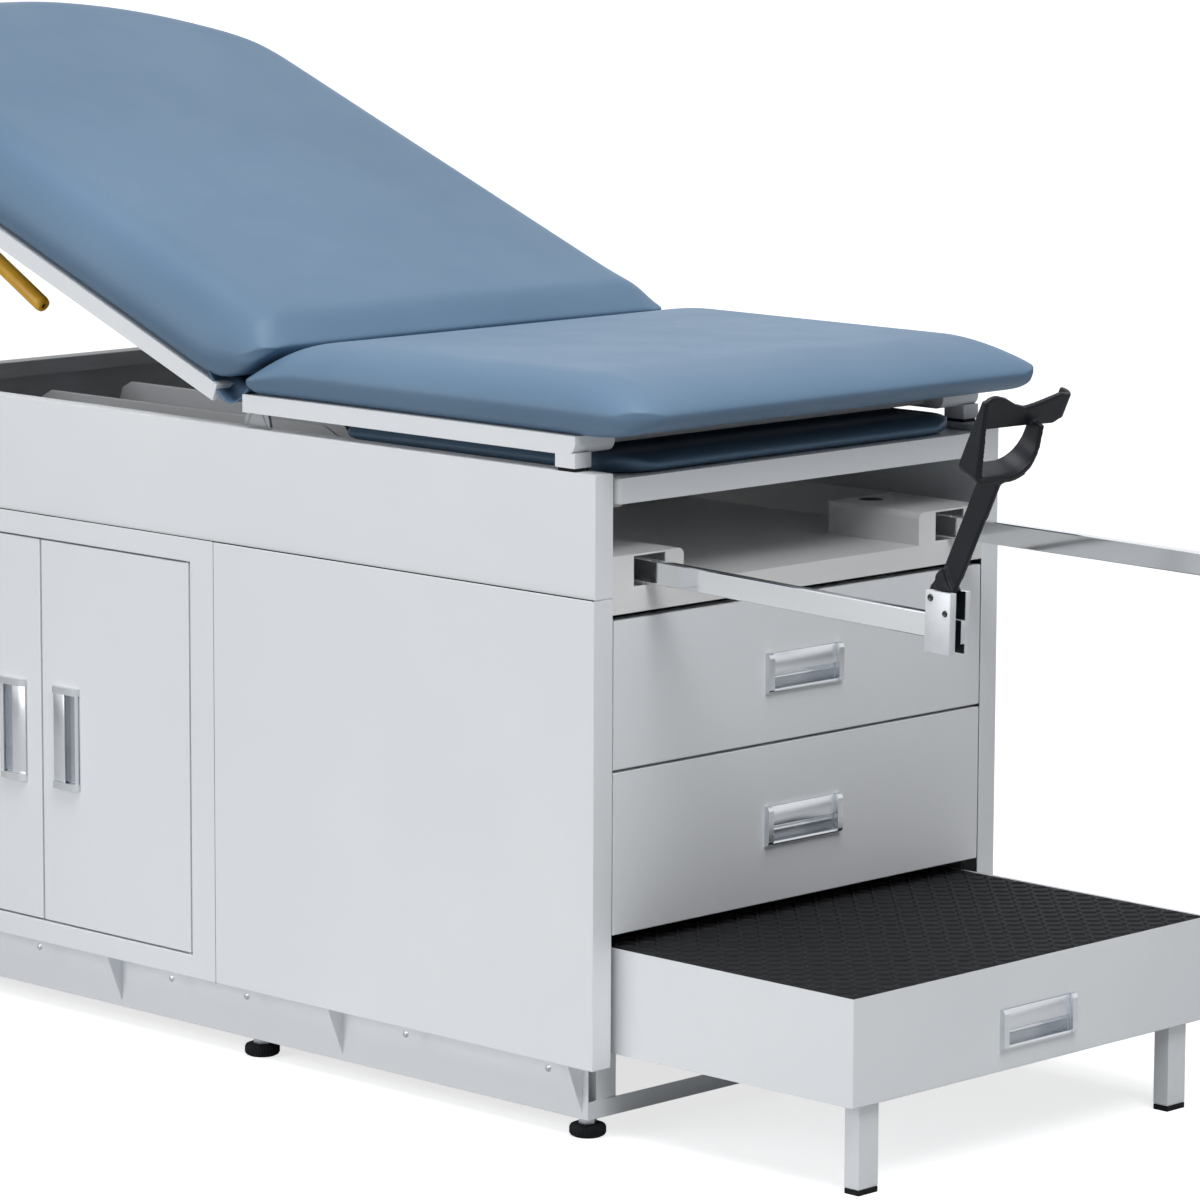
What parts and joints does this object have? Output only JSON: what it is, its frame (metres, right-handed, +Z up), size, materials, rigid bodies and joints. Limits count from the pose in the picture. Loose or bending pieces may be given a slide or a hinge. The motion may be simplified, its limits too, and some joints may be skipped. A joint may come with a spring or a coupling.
{
  "type": "gynecological examination table",
  "caption": "Cabinet-based gynecological examination table with reclining padded backrest, padded seat, pull-out leg rest, foot stirrups, drawers, cupboard and pull-out step.",
  "frame": {"origin": "on the floor under the middle of the table as it stands, step and stirrup bars pulled out", "axes": "+X towards the foot end with the drawers, -Y towards the side with the cupboard doors, +Z up"},
  "size_m": [1.9428, 0.6615, 1.149],
  "materials": {
    "white_steel": "satin",
    "blue_vinyl": "satin",
    "bright_steel": "satin",
    "black_steel": "satin",
    "chrome": "polished",
    "satin_casting": "satin",
    "satin_aluminium": "satin",
    "black_rubber": "matte",
    "black_plastic": "satin",
    "yellow_plastic": "satin",
    "white_plastic": "satin"
  },
  "bodies": {
    "cabinet": {"near_side_panel": "white_steel", "near_door_frame": "white_steel", "far_side_panel": "white_steel", "head_end_panel": "white_steel", "upper_apron": "white_steel", "bulkhead": "white_steel", "cupboard_floor": "white_steel", "cupboard_shelf": "white_steel", "well_floor": "white_steel", "drawer_bay_linings": "white_steel", "plinth_frame": "white_steel", "levelling_foot_discs": "black_rubber", "levelling_foot_nuts": "bright_steel", "stirrup_compartment": "white_plastic", "leg_rest_guides": "bright_steel", "fixed_slide_rails": "bright_steel", "mechanism_channel": "white_steel", "mechanism_bolts": "bright_steel", "hinge_brackets": "white_steel", "hinge_pins": "bright_steel", "door_pivots": "bright_steel"},
    "seat": {"seat_frame": "white_steel", "seat_post_pads": "black_rubber", "seat_cushion": "blue_vinyl"},
    "backrest": {"backrest_frame": "white_steel", "backrest_cushion": "blue_vinyl"},
    "release_lever": {"release_lever_rod": "bright_steel", "release_lever_grip": "yellow_plastic"},
    "gas_cylinder": {"gas_spring_cylinder": "black_steel"},
    "gas_rod": {"gas_spring_rod": "chrome"},
    "leg_rest": {"leg_rest_tray": "white_steel", "leg_rest_cushion": "blue_vinyl"},
    "upper_drawer": {"upper_drawer_front": "white_steel", "upper_drawer_box": "white_steel", "upper_drawer_runners": "bright_steel", "upper_drawer_handle": "satin_aluminium"},
    "lower_drawer": {"lower_drawer_front": "white_steel", "lower_drawer_box": "white_steel", "lower_drawer_runners": "bright_steel", "lower_drawer_handle": "satin_aluminium"},
    "step": {"step_box": "white_steel", "step_tread_mat": "black_rubber", "step_legs": "white_steel", "step_leg_caps": "black_rubber", "step_runners": "bright_steel", "step_handle": "satin_aluminium"},
    "foot_side_door": {"foot_door": "white_steel", "foot_door_handle": "satin_aluminium"},
    "head_side_door": {"head_door": "white_steel", "head_door_handle": "satin_aluminium"},
    "near_swivel": {"near_swivel_guide": "black_plastic"},
    "near_bar": {"near_stirrup_bar": "chrome", "near_stirrup_bracket": "satin_casting"},
    "near_stirrup": {"near_foot_stirrup": "black_plastic"},
    "far_swivel": {"far_swivel_guide": "black_plastic"},
    "far_bar": {"far_stirrup_bar": "chrome", "far_stirrup_bracket": "satin_casting"},
    "far_stirrup": {"far_foot_stirrup": "black_plastic"}
  },
  "joints": [
    {"name": "backrest_tilt", "type": "hinge", "parent": "cabinet", "child": "backrest", "pos_m": [-0.141, 0, 0.751], "axis": [0, 1, 0], "range_deg": [-21.5, 24.5]},
    {"name": "seat_tilt", "type": "hinge", "parent": "cabinet", "child": "seat", "pos_m": [-0.141, 0, 0.751], "axis": [0, -1, 0], "range_deg": [0, 6]},
    {"name": "release_squeeze", "type": "hinge", "parent": "backrest", "child": "release_lever", "pos_m": [-0.74673, -0.28, 0.95951], "axis": [0, -1, 0], "range_deg": [0, 6], "stiffness_Nm_per_rad": 6, "springref_deg": -8.59},
    {"name": "gas_pivot", "type": "hinge", "parent": "cabinet", "child": "gas_cylinder", "pos_m": [-0.221, 0, 0.624], "axis": [0, 1, 0], "range_deg": [-19, 29]},
    {"name": "gas_rod_slide", "type": "slide", "parent": "gas_cylinder", "child": "gas_rod", "axis": [-0.6649, 0, 0.7469], "range_m": [-0.056, 0.086]},
    {"name": "leg_rest_slide", "type": "slide", "parent": "cabinet", "child": "leg_rest", "axis": [1, 0, 0], "range_m": [0, 0.36]},
    {"name": "upper_drawer_slide", "type": "slide", "parent": "cabinet", "child": "upper_drawer", "axis": [1, 0, 0], "range_m": [0, 0.35]},
    {"name": "lower_drawer_slide", "type": "slide", "parent": "cabinet", "child": "lower_drawer", "axis": [1, 0, 0], "range_m": [0, 0.35]},
    {"name": "step_slide", "type": "slide", "parent": "cabinet", "child": "step", "axis": [1, 0, 0], "range_m": [-0.33, 0]},
    {"name": "foot_side_door_hinge", "type": "hinge", "parent": "cabinet", "child": "foot_side_door", "pos_m": [-0.2085, -0.322, 0.336], "axis": [0, 0, 1], "range_deg": [0, 100]},
    {"name": "head_side_door_hinge", "type": "hinge", "parent": "cabinet", "child": "head_side_door", "pos_m": [-0.7235, -0.322, 0.336], "axis": [0, 0, -1], "range_deg": [0, 100]},
    {"name": "near_bar_swivel", "type": "hinge", "parent": "cabinet", "child": "near_swivel", "pos_m": [0.324, -0.237, 0.6165], "axis": [0, 0, 1], "range_deg": [-1.6, 6.4]},
    {"name": "near_bar_slide", "type": "slide", "parent": "near_swivel", "child": "near_bar", "axis": [0.9989, -0.0419, -0.0192], "range_m": [-0.35, 0]},
    {"name": "near_stirrup_fold", "type": "hinge", "parent": "near_bar", "child": "near_stirrup", "pos_m": [0.85801, -0.25938, 0.63624], "axis": [-0.0419, -0.9991, 0], "range_deg": [0, 113]},
    {"name": "far_bar_swivel", "type": "hinge", "parent": "cabinet", "child": "far_swivel", "pos_m": [0.324, 0.237, 0.6165], "axis": [0, 0, -1], "range_deg": [-1.6, 6.4]},
    {"name": "far_bar_slide", "type": "slide", "parent": "far_swivel", "child": "far_bar", "axis": [0.9989, 0.0419, -0.0192], "range_m": [-0.35, 0]},
    {"name": "far_stirrup_fold", "type": "hinge", "parent": "far_bar", "child": "far_stirrup", "pos_m": [0.85801, 0.25938, 0.63624], "axis": [0.0419, -0.9991, 0], "range_deg": [0, 113]}
  ],
  "couplings": [
    {"joint": "gas_pivot", "follows": "backrest_tilt", "ratio": 0.8492},
    {"joint": "gas_rod_slide", "follows": "backrest_tilt", "m_per_rad": 0.14129}
  ]
}
